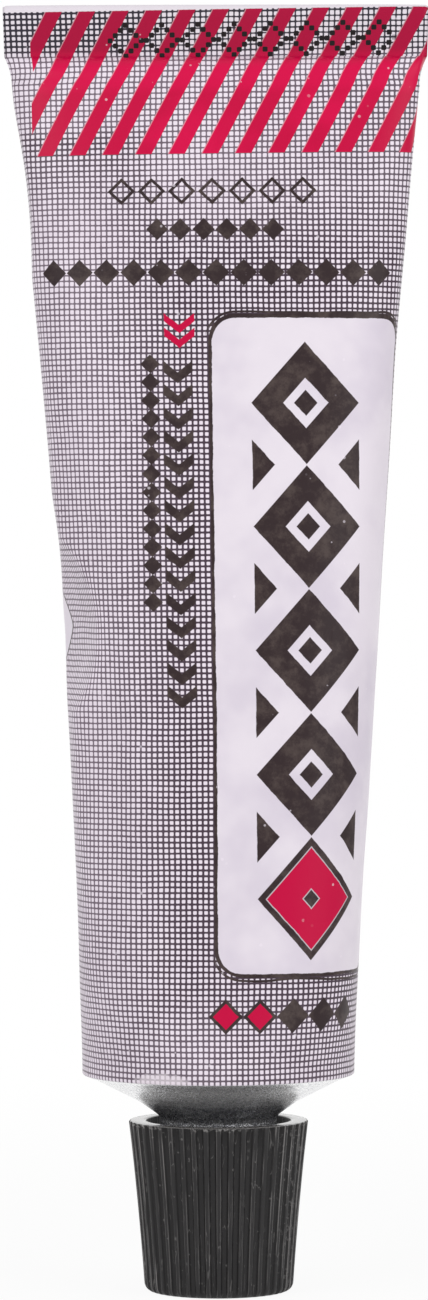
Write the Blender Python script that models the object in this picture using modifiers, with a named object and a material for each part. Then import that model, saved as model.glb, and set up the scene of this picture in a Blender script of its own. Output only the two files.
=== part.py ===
"""Collapsible aluminium glue tube, standing on its screw cap.

Metres, +Z up. The origin is the centre of the ring that the cap stands on. X runs along the
folded end's width, and the end is folded over towards +Y.
"""

import math

import bmesh
import bpy
from mathutils import Vector

MM = 0.001

# Driving sizes of the tube
TUBE_DIAMETER = 25.0 * MM
BODY_HEIGHT = 93.15 * MM
BODY_WALL = 0.13 * MM
FOOT_BAND_HEIGHT = 0.6 * MM
FLATTENING_HEIGHT = 13.0 * MM
FOLD_HEIGHT = 4.8 * MM
TAIL_SLIT = 0.14 * MM
FOLD_LAYER_GAP = 0.08 * MM
FOLD_TAIL_INSET = 0.6 * MM
FOLD_TAPER = 0.3 * MM
FOLD_OVERHANG = 0.58 * MM
WIDENING_POWER = 1.5
CLOSING_HEIGHT = 2.6 * MM

# Shoulder and neck
SHOULDER_HEIGHT = 4.05 * MM
SHOULDER_WALL = 0.7 * MM
SHOULDER_BREAK_DIAMETER = 14.6 * MM
SHOULDER_BREAK_HEIGHT = 1.4 * MM
SHOULDER_EDGE_RADIUS = 0.2 * MM
NECK_DIAMETER = 10.7 * MM
NECK_LENGTH = 10.2 * MM
NECK_BORE_DIAMETER = 8.4 * MM
NECK_CHAMFER = 0.4 * MM
NECK_FILLET = 0.9 * MM
MEMBRANE_THICKNESS = 0.15 * MM

# Screw cap
CAP_HEIGHT = 15.7 * MM
CAP_END_DIAMETER = 13.6 * MM
CAP_RIM_DIAMETER = 16.5 * MM
CAP_SIDE_SAG = 0.1 * MM
CAP_END_RADIUS = 0.8 * MM
CAP_RIM_CHAMFER = 0.15 * MM
CAP_END_WALL = 1.4 * MM
RIB_COUNT = 44
RIB_DEPTH = 0.26 * MM
RIB_CREST_SHARE = 0.30
RIB_ROOT_SHARE = 0.34
COUNTERBORE_DIAMETER = 13.2 * MM
COUNTERBORE_DEPTH = 1.7 * MM
PIERCER_RECESS_DIAMETER = 11.3 * MM
PIERCER_RECESS_DEPTH = 3.3 * MM
PIERCER_BASE_DIAMETER = 3.4 * MM
PIERCER_TIP_DIAMETER = 0.4 * MM
PIERCER_TIP_INSET = 0.3 * MM

# Sealing wad
LINER_THICKNESS = 1.0 * MM

# Clearances
THREAD_CLEARANCE = 0.3 * MM
LINER_EDGE_CLEARANCE = 0.3 * MM
LINER_FACE_CLEARANCE = 0.1 * MM
FILL_CLEARANCE = 0.3 * MM
SEAL_CLEARANCE = 0.03 * MM

# Smoothness
TUBE_SIDES = 48
BODY_STEPS = 14
RING_GATHERING = 1.7
CLOSING_STEPS = 5
FOLD_ARC_STEPS = 6
CAP_SIDE_STEPS = 5
CORNER_STEPS = 3
TURNED_STEPS = 48
SMOOTH_ANGLE = math.radians(32)
CUT_OVERSHOOT = 1.0 * MM

# Heights and widths that follow from the sizes above
LINER_BOTTOM = PIERCER_RECESS_DEPTH + CAP_END_WALL + LINER_FACE_CLEARANCE
MOUTH_Z = LINER_BOTTOM + LINER_THICKNESS + LINER_FACE_CLEARANCE
NECK_TOP_Z = MOUTH_Z + NECK_LENGTH
BODY_BOTTOM_Z = NECK_TOP_Z + SHOULDER_HEIGHT
BODY_TOP_Z = BODY_BOTTOM_Z + BODY_HEIGHT
TOTAL_HEIGHT = BODY_TOP_Z + FOLD_HEIGHT
CAP_BORE_DIAMETER = NECK_DIAMETER + 2 * THREAD_CLEARANCE
GIRTH = math.pi * TUBE_DIAMETER
TAIL_THICKNESS = 2 * BODY_WALL + TAIL_SLIT
FOLD_WIDTH = GIRTH / 2 - TAIL_THICKNESS / 2
WIDTH_NEAR_FOLD = FOLD_WIDTH - 2 * FOLD_OVERHANG
FOOT_ROUND_HEIGHT = SHOULDER_WALL + FOOT_BAND_HEIGHT

# Powers of a section's cosine and sine: smaller ones square it off
ROUND = (1.0, 1.0)
PRESSED = (0.66, 0.66)
FLAT = (1.0, 0.2)
BISECTIONS = 40
NEARLY_ZERO = 1e-9


def new_collection(name):
    made = bpy.data.collections.new(name)
    bpy.context.scene.collection.children.link(made)
    return made


def new_material(name, colour, roughness, metallic=0.0):
    made = bpy.data.materials.new(name)
    made.use_nodes = True
    shader = made.node_tree.nodes["Principled BSDF"]
    shader.inputs["Base Color"].default_value = (*colour, 1.0)
    shader.inputs["Roughness"].default_value = roughness
    shader.inputs["Metallic"].default_value = metallic
    made.diffuse_color = (*colour, 1.0)
    return made


def new_object(name, mesh, collection, material=None):
    made = bpy.data.objects.new(name, mesh)
    collection.objects.link(made)
    if material:
        mesh.materials.append(material)
        mesh.shade_smooth()
        mesh.set_sharp_from_angle(angle=SMOOTH_ANGLE)
    return made


def mix(low, high, share):
    return low + (high - low) * share


def loft_mesh(name, rings):
    """A closed skin through rings of equally many points, with a flat face over each end."""
    bm = bmesh.new()
    loops = [[bm.verts.new(point) for point in ring] for ring in rings]
    sides = len(loops[0])
    for near, far in zip(loops, loops[1:]):
        for i in range(sides):
            j = (i + 1) % sides
            bm.faces.new((near[i], near[j], far[j], far[i]))
    bm.faces.new(loops[0])
    bm.faces.new(loops[-1])
    bmesh.ops.recalc_face_normals(bm, faces=bm.faces)
    mesh = bpy.data.meshes.new(name)
    bm.to_mesh(mesh)
    bm.free()
    return mesh


def turned_object(name, profile, collection, material=None):
    """A profile of (radius, height) pairs, outer side first and running down, turned about Z."""
    bm = bmesh.new()
    verts = [bm.verts.new((radius, 0.0, height)) for radius, height in profile]
    for above, below in zip(verts, verts[1:]):
        bm.edges.new((above, below))
    mesh = bpy.data.meshes.new(name)
    bm.to_mesh(mesh)
    bm.free()
    made = new_object(name, mesh, collection, material)
    screw = made.modifiers.new("Turn", "SCREW")
    screw.axis = "Z"
    screw.steps = TURNED_STEPS
    screw.render_steps = TURNED_STEPS
    screw.use_merge_vertices = True
    screw.merge_threshold = 0.000001
    return made


def blend(low, high, share):
    return tuple(mix(a, b, share) for a, b in zip(low, high))


def signed_power(value, power):
    return 0.0 if abs(value) < NEARLY_ZERO else math.copysign(abs(value) ** power, value)


def section(half_width, half_depth, powers, centre, outward):
    """One ring across the tube. centre is (y, z) and outward the (y, z) direction of its back."""
    points = []
    for i in range(TUBE_SIDES):
        angle = 2 * math.pi * i / TUBE_SIDES
        depth = half_depth * signed_power(math.sin(angle), powers[1])
        y = centre[0] + outward[0] * depth
        z = centre[1] + outward[1] * depth
        points.append(Vector((half_width * signed_power(math.cos(angle), powers[0]), y, z)))
    return points


def level_ring(radius, height):
    return section(radius, radius, ROUND, (0.0, height), (1.0, 0.0))


def ring_length(half_width, half_depth, powers):
    points = section(half_width, half_depth, powers, (0.0, 0.0), (1.0, 0.0))
    return sum((b - a).length for a, b in zip(points, points[1:] + points[:1]))


def depth_at(half_width, powers):
    """Half-depth of the section that keeps the sheet's girth at this half-width."""
    girth = ring_length(TUBE_DIAMETER / 2, TUBE_DIAMETER / 2, ROUND)
    low, high = TAIL_THICKNESS / 2, TUBE_DIAMETER / 2
    for _ in range(BISECTIONS):
        middle = (low + high) / 2
        if ring_length(half_width, middle, powers) < girth:
            low = middle
        else:
            high = middle
    return high


def open_section(rise):
    """Half-width, half-depth and powers of the body at a height over its foot, short of where
    it closes. The shoulder holds the foot round, and above it the sheet is pressed flatter."""
    width = mix(TUBE_DIAMETER, WIDTH_NEAR_FOLD, (rise / BODY_HEIGHT) ** WIDENING_POWER) / 2
    share = min(max((rise - FOOT_ROUND_HEIGHT) / FLATTENING_HEIGHT, 0.0), 1.0)
    powers = blend(ROUND, PRESSED, math.sin(share * math.pi / 2))
    return width, depth_at(width, powers), powers


def fold_half_width(height):
    """Half-width of the flattened end, widest where its first bend holds the sheet flat."""
    return (FOLD_WIDTH - FOLD_TAPER * (TOTAL_HEIGHT - height) / FOLD_HEIGHT) / 2


def body_rings(inset, closes=True):
    """The body's rings from the shoulder's edge to the fold, moved inwards by inset. The first
    two are the round foot, and the others gather where the pressing starts."""
    open_height = BODY_HEIGHT - CLOSING_HEIGHT
    rises = [0.0]
    for i in range(BODY_STEPS + 1):
        share = (i / BODY_STEPS) ** RING_GATHERING
        rises.append(mix(FOOT_ROUND_HEIGHT, open_height, share))
    rings = []
    for rise in rises:
        width, depth, powers = open_section(rise)
        place = (0.0, BODY_BOTTOM_Z + rise)
        rings.append(section(width - inset, depth - inset, powers, place, (1, 0)))
    if not closes:
        return rings
    start_width, start_depth, start_powers = open_section(open_height)
    for i in range(1, CLOSING_STEPS + 1):
        turn = math.pi / 2 * i / CLOSING_STEPS
        drop = math.sin(turn)
        bend = 1 - math.cos(turn)
        width = mix(start_width, fold_half_width(BODY_TOP_Z), drop)
        depth = mix(start_depth, TAIL_THICKNESS / 2, bend)
        place = (0.0, BODY_TOP_Z - CLOSING_HEIGHT * (1 - drop))
        powers = blend(start_powers, FLAT, bend)
        rings.append(section(width - inset, depth - inset, powers, place, (1, 0)))
    return rings


def fold_path():
    """(centre, outward) pairs along the flattened tail: up, over to the back, down, then
    under and up again between the two, which is how the end is double folded."""
    middle_y = TAIL_THICKNESS + FOLD_LAYER_GAP
    back_y = 2 * middle_y
    outer_bend = back_y / 2
    inner_bend = (back_y - middle_y) / 2
    top_z = TOTAL_HEIGHT - TAIL_THICKNESS / 2 - outer_bend
    bottom_z = BODY_TOP_Z + TAIL_THICKNESS / 2 + inner_bend
    path = []
    for i in range(FOLD_ARC_STEPS + 1):
        turn = math.pi * i / FOLD_ARC_STEPS
        y = outer_bend - outer_bend * math.cos(turn)
        centre = (y, top_z + outer_bend * math.sin(turn))
        path.append((centre, (math.cos(turn), -math.sin(turn))))
    for i in range(FOLD_ARC_STEPS + 1):
        turn = math.pi * i / FOLD_ARC_STEPS
        y = back_y - inner_bend + inner_bend * math.cos(turn)
        centre = (y, bottom_z - inner_bend * math.sin(turn))
        path.append((centre, (-math.cos(turn), math.sin(turn))))
    path.append(((middle_y, top_z - FOLD_TAIL_INSET), (1.0, 0.0)))
    return path


def fold_rings(inset):
    depth = TAIL_THICKNESS / 2 - inset
    rings = []
    for centre, outward in fold_path():
        width = fold_half_width(centre[1]) - inset
        rings.append(section(width, depth, FLAT, centre, outward))
    return rings


def shoulder_outline():
    """(radius, height) pairs up the outside, from the membrane's edge to the body's edge."""
    neck = NECK_DIAMETER / 2
    brk = SHOULDER_BREAK_DIAMETER / 2
    break_z = NECK_TOP_Z + SHOULDER_BREAK_HEIGHT
    inner_slope = math.atan2(SHOULDER_BREAK_HEIGHT, brk - neck)
    outer_slope = math.atan2(BODY_BOTTOM_Z - break_z, TUBE_DIAMETER / 2 - brk)
    outline = [(neck - NECK_CHAMFER, MOUTH_Z), (neck, MOUTH_Z + NECK_CHAMFER)]
    rise = NECK_FILLET * (math.tan(inner_slope) - 1 / math.cos(inner_slope))
    for i in range(CORNER_STEPS + 1):
        turn = (math.pi / 2 - inner_slope) * i / CORNER_STEPS
        radius = neck + NECK_FILLET * (1 - math.cos(turn))
        outline.append((radius, NECK_TOP_Z + rise + NECK_FILLET * math.sin(turn)))
    outline.append((brk, break_z))
    for i in range(CORNER_STEPS):
        turn = mix(outer_slope, math.pi / 2, i / CORNER_STEPS)
        radius = TUBE_DIAMETER / 2 - SHOULDER_EDGE_RADIUS * (1 - math.sin(turn))
        outline.append((radius, BODY_BOTTOM_Z - SHOULDER_EDGE_RADIUS * math.cos(turn)))
    return outline


def bore_outline(inset):
    """(radius, height) pairs down the inside, from the body to the membrane, moved in by inset."""
    bore = NECK_BORE_DIAMETER / 2 - inset
    wall_top = SHOULDER_WALL + inset
    return [
        (TUBE_DIAMETER / 2 - BODY_WALL - inset, BODY_BOTTOM_Z + wall_top),
        (SHOULDER_BREAK_DIAMETER / 2, NECK_TOP_Z + SHOULDER_BREAK_HEIGHT + wall_top),
        (bore, NECK_TOP_Z + wall_top),
        (bore, MOUTH_Z + MEMBRANE_THICKNESS + inset),
    ]


def make_tube(collection):
    """Neck, shoulder, body and folded end, one piece of sheet with the end's slit open."""
    outside = [level_ring(r, z) for r, z in shoulder_outline()]
    outside += body_rings(0.0) + fold_rings(0.0)
    inside = fold_rings(BODY_WALL)[::-1] + body_rings(BODY_WALL)[:0:-1]
    inside += [level_ring(r, z) for r, z in bore_outline(0.0)]
    printed = new_material("printed_aluminium", (0.62, 0.56, 0.62), 0.35)
    return new_object("tube_shell", loft_mesh("tube_shell", outside + inside), collection, printed)


def make_end_seal(collection):
    """The sealing compound, a strip that fills the flattened tail inside the fold."""
    inset = BODY_WALL + SEAL_CLEARANCE
    path = fold_rings(inset)
    compound = new_material("sealing_compound", (0.55, 0.42, 0.22), 0.6)
    return new_object("end_seal_band", loft_mesh("end_seal_band", path), collection, compound)


def make_fill(collection):
    """The glue, from the membrane up to the end's closing slope."""
    rings = [level_ring(r, z) for r, z in bore_outline(FILL_CLEARANCE)[::-1]]
    rings += body_rings(BODY_WALL + FILL_CLEARANCE, closes=False)[1:]
    glue = new_material("clear_glue", (0.80, 0.74, 0.55), 0.15)
    return new_object("adhesive_fill", loft_mesh("adhesive_fill", rings), collection, glue)


def cap_radius_at(height):
    """Radius over the ribs: a slightly hollow taper from the end to the rim."""
    share = height / CAP_HEIGHT
    straight = mix(CAP_END_DIAMETER, CAP_RIM_DIAMETER, share) / 2
    return straight - 4 * CAP_SIDE_SAG * share * (1 - share)


def ribbed_ring(radius, height, depth):
    """One level of the cap: flat crests and roots with sloping flanks between them."""
    pitch = 2 * math.pi / RIB_COUNT
    crest = RIB_CREST_SHARE * pitch / 2
    root = pitch / 2 - RIB_ROOT_SHARE * pitch / 2
    points = []
    for rib in range(RIB_COUNT):
        middle = rib * pitch
        for angle, reach in (
            (-root, radius - depth),
            (-crest, radius),
            (crest, radius),
            (root, radius - depth),
        ):
            x = reach * math.cos(middle + angle)
            points.append(Vector((x, reach * math.sin(middle + angle), height)))
    return points


def cap_rings():
    """The cap's outer levels: rounded end, ribbed side, small chamfer under the rim."""
    rings = []
    for i in range(CORNER_STEPS):
        turn = math.pi / 2 * i / CORNER_STEPS
        height = CAP_END_RADIUS * (1 - math.cos(turn))
        radius = cap_radius_at(CAP_END_RADIUS) - CAP_END_RADIUS * (1 - math.sin(turn))
        rings.append(ribbed_ring(radius, height, RIB_DEPTH * math.sin(turn)))
    side_top = CAP_HEIGHT - CAP_RIM_CHAMFER
    for i in range(CAP_SIDE_STEPS + 1):
        height = mix(CAP_END_RADIUS, side_top, i / CAP_SIDE_STEPS)
        rings.append(ribbed_ring(cap_radius_at(height), height, RIB_DEPTH))
    top_radius = cap_radius_at(CAP_HEIGHT) - CAP_RIM_CHAMFER
    rings.append(ribbed_ring(top_radius, CAP_HEIGHT, RIB_DEPTH - CAP_RIM_CHAMFER))
    return rings


def cut(target, cutter):
    modifier = target.modifiers.new(cutter.name, "BOOLEAN")
    modifier.operation = "DIFFERENCE"
    modifier.solver = "EXACT"
    modifier.object = cutter
    cutter.hide_render = True
    cutter.display_type = "WIRE"


def make_cap(collection, cutters):
    """The ribbed cap, hollowed for the neck, with a recessed piercing point in its end."""
    black = new_material("cap_plastic", (0.030, 0.029, 0.030), 0.42)
    cap = new_object("screw_cap", loft_mesh("screw_cap", cap_rings()), collection, black)
    shelf = CAP_HEIGHT - COUNTERBORE_DEPTH
    bore = CAP_BORE_DIAMETER / 2
    over = CAP_HEIGHT + CUT_OVERSHOOT
    hollow = [
        (0.0, over),
        (COUNTERBORE_DIAMETER / 2, over),
        (COUNTERBORE_DIAMETER / 2, shelf),
        (bore, shelf),
        (bore, PIERCER_RECESS_DEPTH + CAP_END_WALL),
        (0.0, PIERCER_RECESS_DEPTH + CAP_END_WALL),
    ]
    cut(cap, turned_object("neck_hollow", hollow, cutters))
    recess = PIERCER_RECESS_DIAMETER / 2
    moat = [
        (0.0, PIERCER_TIP_INSET),
        (PIERCER_TIP_DIAMETER / 2, PIERCER_TIP_INSET),
        (PIERCER_BASE_DIAMETER / 2, PIERCER_RECESS_DEPTH),
        (recess, PIERCER_RECESS_DEPTH),
        (recess, -CUT_OVERSHOOT),
        (0.0, -CUT_OVERSHOOT),
    ]
    cut(cap, turned_object("piercer_moat", moat, cutters))
    return cap


def make_liner(collection):
    """The soft sealing wad at the bottom of the cap, pressed by the neck's mouth."""
    radius = CAP_BORE_DIAMETER / 2 - LINER_EDGE_CLEARANCE
    top = LINER_BOTTOM + LINER_THICKNESS
    profile = [(0.0, top), (radius, top), (radius, LINER_BOTTOM), (0.0, LINER_BOTTOM)]
    foam = new_material("liner_foam", (0.78, 0.77, 0.74), 0.85)
    return turned_object("cap_liner", profile, collection, foam)


def main():
    for old in list(bpy.data.objects):
        bpy.data.objects.remove(old, do_unlink=True)
    parts = new_collection("glue_tube")
    cutters = new_collection("cutters")
    make_tube(parts)
    make_end_seal(parts)
    make_fill(parts)
    axis = bpy.data.objects.new("cap_axis", None)
    parts.objects.link(axis)
    for piece in (make_cap(parts, cutters), make_liner(parts)):
        piece.parent = axis


main()
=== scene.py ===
import math

import bmesh
import bpy
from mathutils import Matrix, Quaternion, Vector, noise


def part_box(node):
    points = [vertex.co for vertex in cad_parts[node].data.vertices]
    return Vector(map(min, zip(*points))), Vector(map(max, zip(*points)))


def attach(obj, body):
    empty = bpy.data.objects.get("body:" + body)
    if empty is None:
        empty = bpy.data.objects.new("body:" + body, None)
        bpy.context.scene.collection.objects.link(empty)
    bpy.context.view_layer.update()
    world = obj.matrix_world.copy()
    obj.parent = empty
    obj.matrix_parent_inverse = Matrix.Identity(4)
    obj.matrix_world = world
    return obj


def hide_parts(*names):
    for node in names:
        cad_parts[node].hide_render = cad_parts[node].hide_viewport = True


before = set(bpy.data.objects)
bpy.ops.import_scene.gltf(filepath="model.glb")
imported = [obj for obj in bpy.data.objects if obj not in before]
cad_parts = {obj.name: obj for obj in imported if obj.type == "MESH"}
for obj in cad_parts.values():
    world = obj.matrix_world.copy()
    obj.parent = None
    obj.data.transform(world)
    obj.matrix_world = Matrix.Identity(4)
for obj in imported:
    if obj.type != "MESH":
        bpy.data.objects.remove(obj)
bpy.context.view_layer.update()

# The tube: one slug of aluminium is pressed into a round can with a neck, printed flat round its
# body, filled, and then flattened and folded over twice at the open end. The mesh is made the
# same way: a profile is spun round, and the body is then squeezed flat towards its end.
MM = 0.001
TUBE_RADIUS = 12.5 * MM
NECK_RADIUS = 5.35 * MM
THREAD_ROOT_RADIUS = 4.80 * MM
THREAD_LENGTH = 8.4 * MM
NECK_LENGTH = 10.2 * MM
NECK_CHAMFER = 0.4 * MM
NECK_FILLET = 0.9 * MM
MOUTH_BORE_RADIUS = 3.9 * MM
MEMBRANE_RADIUS = 3.6 * MM
MEMBRANE_RISE = 0.25 * MM
SHOULDER_BREAK_RADIUS = 7.3 * MM
SHOULDER_BREAK_HEIGHT = 1.4 * MM
SHOULDER_HEIGHT = 4.05 * MM
SHOULDER_EDGE = 0.2 * MM
PRINTED_EDGE_SHARE = 0.86
BODY_HEIGHT = 93.15 * MM
FOOT_ROUND_HEIGHT = 1.3 * MM
FLATTENING_HEIGHT = 13.0 * MM
FOLD_OVERHANG = 0.58 * MM
FOLD_TAPER = 0.3 * MM
WIDENING_POWER = 1.5
CLOSING_HEIGHT = 2.6 * MM
OPEN_HEIGHT = BODY_HEIGHT - CLOSING_HEIGHT
SHEET_THICKNESS = 0.40 * MM
FOLD_PITCH = 0.48 * MM
FOLD_TAIL_INSET = 0.6 * MM
BOW = 0.15 * MM
RIGHT_SWELL = 0.32 * MM
RIGHT_SWELL_HEIGHT = 66.0 * MM
ROUND = (1.0, 1.0)
PRESSED = (0.66, 0.66)
FLAT = (1.0, 0.2)
ROUND_STEPS = 200
RING_SPACING = 0.5 * MM
ARC_RINGS = 9
HALVINGS = 30

tube_low, tube_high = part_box("tube_shell")
MOUTH_Z = tube_low[2]
TOP_Z = tube_high[2]
NECK_FOOT_Z = MOUTH_Z + NECK_LENGTH
BODY_FOOT_Z = NECK_FOOT_Z + SHOULDER_HEIGHT
BODY_TOP_Z = BODY_FOOT_Z + BODY_HEIGHT
QUARTER_GIRTH = math.pi * TUBE_RADIUS / 2
FOLD_RADIUS = QUARTER_GIRTH - SHEET_THICKNESS / 4
NEAR_FOLD_RADIUS = FOLD_RADIUS - FOLD_OVERHANG


def mix(low, high, share):
    return low + (high - low) * share


def blend(low, high, share):
    return tuple(mix(a, b, share) for a, b in zip(low, high))


def quarter(wide, deep, powers, count=160):
    """Points of a quarter section from the front's middle to the side, with their lengths."""
    points = []
    run = 0.0
    for i in range(count + 1):
        turn = math.pi / 2 * i / count
        drop = max(math.cos(turn), 0.0) ** powers[1] if i < count else 0.0
        x, y = wide * math.sin(turn) ** powers[0], -deep * drop
        if points:
            run += math.hypot(x - points[-1][1], y - points[-1][2])
        points.append((run, x, y))
    return points


def depth_for(wide, powers):
    """Half-depth of the section that keeps the sheet's girth at this half-width."""
    low, high = SHEET_THICKNESS / 2, TUBE_RADIUS
    for _ in range(HALVINGS):
        middle = (low + high) / 2
        if quarter(wide, middle, powers, 40)[-1][0] < QUARTER_GIRTH:
            low = middle
        else:
            high = middle
    return high


def along(points, share):
    """The point of a quarter section at a share of its length."""
    goal = share * points[-1][0]
    low, high = 0, len(points) - 1
    while high - low > 1:
        middle = (low + high) // 2
        if points[middle][0] <= goal:
            low = middle
        else:
            high = middle
    near, far = points[low], points[high]
    part = (goal - near[0]) / max(far[0] - near[0], 1e-12)
    return mix(near[1], far[1], part), mix(near[2], far[2], part)


def fold_half_width(height):
    return FOLD_RADIUS - FOLD_TAPER / 2 * (TOP_Z - height) / (TOP_Z - BODY_TOP_Z)


def body_section(rise):
    """Half-width, half-depth and squaring powers of the body at a height over its foot."""
    level = min(rise, OPEN_HEIGHT)
    wide = mix(TUBE_RADIUS, NEAR_FOLD_RADIUS, (level / BODY_HEIGHT) ** WIDENING_POWER)
    share = min(max((level - FOOT_ROUND_HEIGHT) / FLATTENING_HEIGHT, 0.0), 1.0)
    powers = blend(ROUND, PRESSED, math.sin(share * math.pi / 2))
    deep = depth_for(wide, powers)
    if rise <= OPEN_HEIGHT:
        return wide, deep, powers
    lift = min((rise - OPEN_HEIGHT) / CLOSING_HEIGHT, 1.0)
    bend = 1 - math.sqrt(max(1 - lift * lift, 0.0))
    return (
        mix(wide, fold_half_width(BODY_TOP_Z), lift),
        mix(deep, SHEET_THICKNESS / 2, bend),
        blend(powers, FLAT, bend),
    )


def fold_lengths():
    """Heights of the two bends of the fold and the length of each run between them."""
    upper = TOP_Z - SHEET_THICKNESS / 2 - FOLD_PITCH
    lower = BODY_TOP_Z + SHEET_THICKNESS / 2 + FOLD_PITCH / 2
    runs = [
        upper - BODY_TOP_Z,
        math.pi * FOLD_PITCH,
        upper - lower,
        math.pi * FOLD_PITCH / 2,
        upper - FOLD_TAIL_INSET - lower,
    ]
    return upper, lower, runs


def fold_place(distance):
    """(y, z) of the flattened sheet's middle and its outward (y, z), at a distance along it."""
    upper, lower, runs = fold_lengths()
    if distance <= runs[0]:
        return (0.0, BODY_TOP_Z + distance), (1.0, 0.0)
    distance -= runs[0]
    if distance <= runs[1]:
        turn = distance / FOLD_PITCH
        y = FOLD_PITCH * (1 - math.cos(turn))
        return (y, upper + FOLD_PITCH * math.sin(turn)), (math.cos(turn), -math.sin(turn))
    distance -= runs[1]
    if distance <= runs[2]:
        return (2 * FOLD_PITCH, upper - distance), (-1.0, 0.0)
    distance -= runs[2]
    if distance <= runs[3]:
        turn = distance / (FOLD_PITCH / 2)
        y = FOLD_PITCH * (1.5 + math.cos(turn) / 2)
        z = lower - FOLD_PITCH / 2 * math.sin(turn)
        return (y, z), (-math.cos(turn), math.sin(turn))
    distance -= runs[3]
    return (FOLD_PITCH, lower + distance), (1.0, 0.0)


def ring_rises():
    """Heights of the sheet's rings over the body's foot, closer together round the bends."""
    rises = []
    count = round(BODY_HEIGHT / RING_SPACING)
    for i in range(1, count + 1):
        rise = BODY_HEIGHT * i / count
        if rise < OPEN_HEIGHT:
            rises.append(rise)
    for i in range(10):
        rises.append(OPEN_HEIGHT + CLOSING_HEIGHT * math.sin(math.pi / 2 * i / 10))
    rises.append(BODY_HEIGHT)
    start = BODY_HEIGHT
    for run, bends in zip(fold_lengths()[2], (False, True, False, True, False)):
        steps = ARC_RINGS if bends else max(3, round(run / RING_SPACING))
        rises += [start + run * i / steps for i in range(1, steps + 1)]
        start += run
    return rises


# Presses that a hand has left in the soft metal: direction round the tube from the front
# towards +X, height, half-height and depth.
PRESSES = (
    (-69.8, 61.3 * MM, 8.2 * MM, 2.05 * MM),
    (-33.0, 55.0 * MM, 26.0 * MM, 0.70 * MM),
    (-50.0, 47.5 * MM, 8.5 * MM, 0.35 * MM),
    (-45.0, 73.0 * MM, 10.0 * MM, 0.40 * MM),
    (-88.0, 66.9 * MM, 6.8 * MM, 0.52 * MM),
    (-86.0, 101.0 * MM, 8.5 * MM, 0.62 * MM),
    (35.0, 99.5 * MM, 6.0 * MM, 0.25 * MM),
    (62.0, 74.0 * MM, 9.0 * MM, 0.20 * MM),
    (165.0, 70.0 * MM, 12.0 * MM, 0.70 * MM),
    (200.0, 50.0 * MM, 10.0 * MM, 0.50 * MM),
)
PRESS_SOFTNESS = 0.25 * MM


def pressed(x, y, z, wide, deep, power):
    bulge = 2 / (2 - power)
    for degrees, height, reach, depth in PRESSES:
        off = (z - height) / reach
        if abs(off) >= 1:
            continue
        nx, ny = math.sin(math.radians(degrees)), -math.cos(math.radians(degrees))
        farthest = (abs(wide * nx) ** bulge + abs(deep * ny) ** bulge) ** (1 / bulge)
        limit = farthest - depth * (1 - off * off)
        over = x * nx + y * ny - limit
        if over > 0:
            push = over * over / (over + PRESS_SOFTNESS)
            x -= nx * push
            y -= ny * push
    return x, y


OPEN_WIDE, OPEN_DEEP, OPEN_POWERS = body_section(OPEN_HEIGHT)
OPEN_POINTS = quarter(OPEN_WIDE, OPEN_DEEP, OPEN_POWERS)


def closing_place(near, rise):
    """A quarter section's point just under the fold, where the sheet's lines still run straight."""
    wide, deep, powers = body_section(rise)
    lift = (rise - OPEN_HEIGHT) / CLOSING_HEIGHT
    x = mix(along(OPEN_POINTS, near)[0], near * wide, lift)
    x = min(x, wide)
    turn = math.asin(min((x / wide) ** (1 / powers[0]), 1.0))
    drop = max(math.cos(turn), 0.0) ** powers[1] if near < 1 else 0.0
    return x, -deep * drop


# Shallow ripples all over the body, which fade out towards both of its ends.
RIPPLE_DEPTH = 0.08 * MM
RIPPLE_SCALE = 110.0
RIPPLE_STRETCH = 0.8
RIPPLE_FADE = 6 * MM
sections = {}


def sheet_place(turn, rise, inset=0.0):
    """Where a point of the round sheet ends up, from its turn round the tube and its height."""
    key = round(rise * 1e7)
    if key not in sections:
        wide, deep, powers = body_section(min(rise, BODY_HEIGHT))
        sections[key] = wide, deep, powers[0], quarter(wide, deep, powers)
    wide, deep, power, points = sections[key]
    share = abs(turn) / (math.pi / 2)
    near = share if share <= 1 else 2 - share
    x, y = along(points, near)
    if OPEN_HEIGHT < rise <= BODY_HEIGHT:
        x, y = closing_place(near, rise)
    x = math.copysign(x, turn)
    y = y if share <= 1 else -y
    if rise > BODY_HEIGHT:
        centre, outward = fold_place(rise - BODY_HEIGHT)
        x *= fold_half_width(centre[1]) / fold_half_width(BODY_TOP_Z)
        return Vector((x, centre[0] + outward[0] * y, centre[1] + outward[1] * y))
    z = BODY_FOOT_Z + rise
    x, y = pressed(x, y, z, wide, deep, power)
    x += BOW * math.sin(math.pi * rise / BODY_HEIGHT) ** 2
    if x > 0 and rise < RIGHT_SWELL_HEIGHT:
        x += RIGHT_SWELL * (x / wide) ** 2 * math.sin(math.pi * rise / RIGHT_SWELL_HEIGHT)
    near_end = min(rise, BODY_HEIGHT - rise) / RIPPLE_FADE
    swell = RIPPLE_DEPTH * min(max(near_end, 0.0), 1.0)
    bump = noise.noise(Vector((x, y, z * RIPPLE_STRETCH)) * RIPPLE_SCALE) * swell
    length = math.hypot(x, y) or 1.0
    reach = (length + bump - inset) / length
    return Vector((x * reach, y * reach, z))


def spin(bm, geom, steps, turns=1.0, climb=0.0):
    """Spins points and edges round Z, with a climb at each step, or merged after one turn."""
    bmesh.ops.spin(
        bm,
        geom=geom,
        cent=(0, 0, 0),
        axis=(0, 0, 1),
        dvec=(0, 0, climb),
        angle=2 * math.pi * turns,
        steps=steps,
        use_merge=climb == 0.0,
    )


def spun(bm, profile, steps):
    """Spins a profile of (radius, height) pairs into a skin whose seam is merged."""
    verts = [bm.verts.new((0.0, -radius, height)) for radius, height in profile]
    edges = [bm.edges.new(pair) for pair in zip(verts, verts[1:])]
    spin(bm, verts + edges, steps)
    bmesh.ops.remove_doubles(bm, verts=bm.verts, dist=1e-7)


def added(name, data):
    made = bpy.data.objects.new(name, data)
    bpy.context.scene.collection.objects.link(made)
    return made


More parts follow.
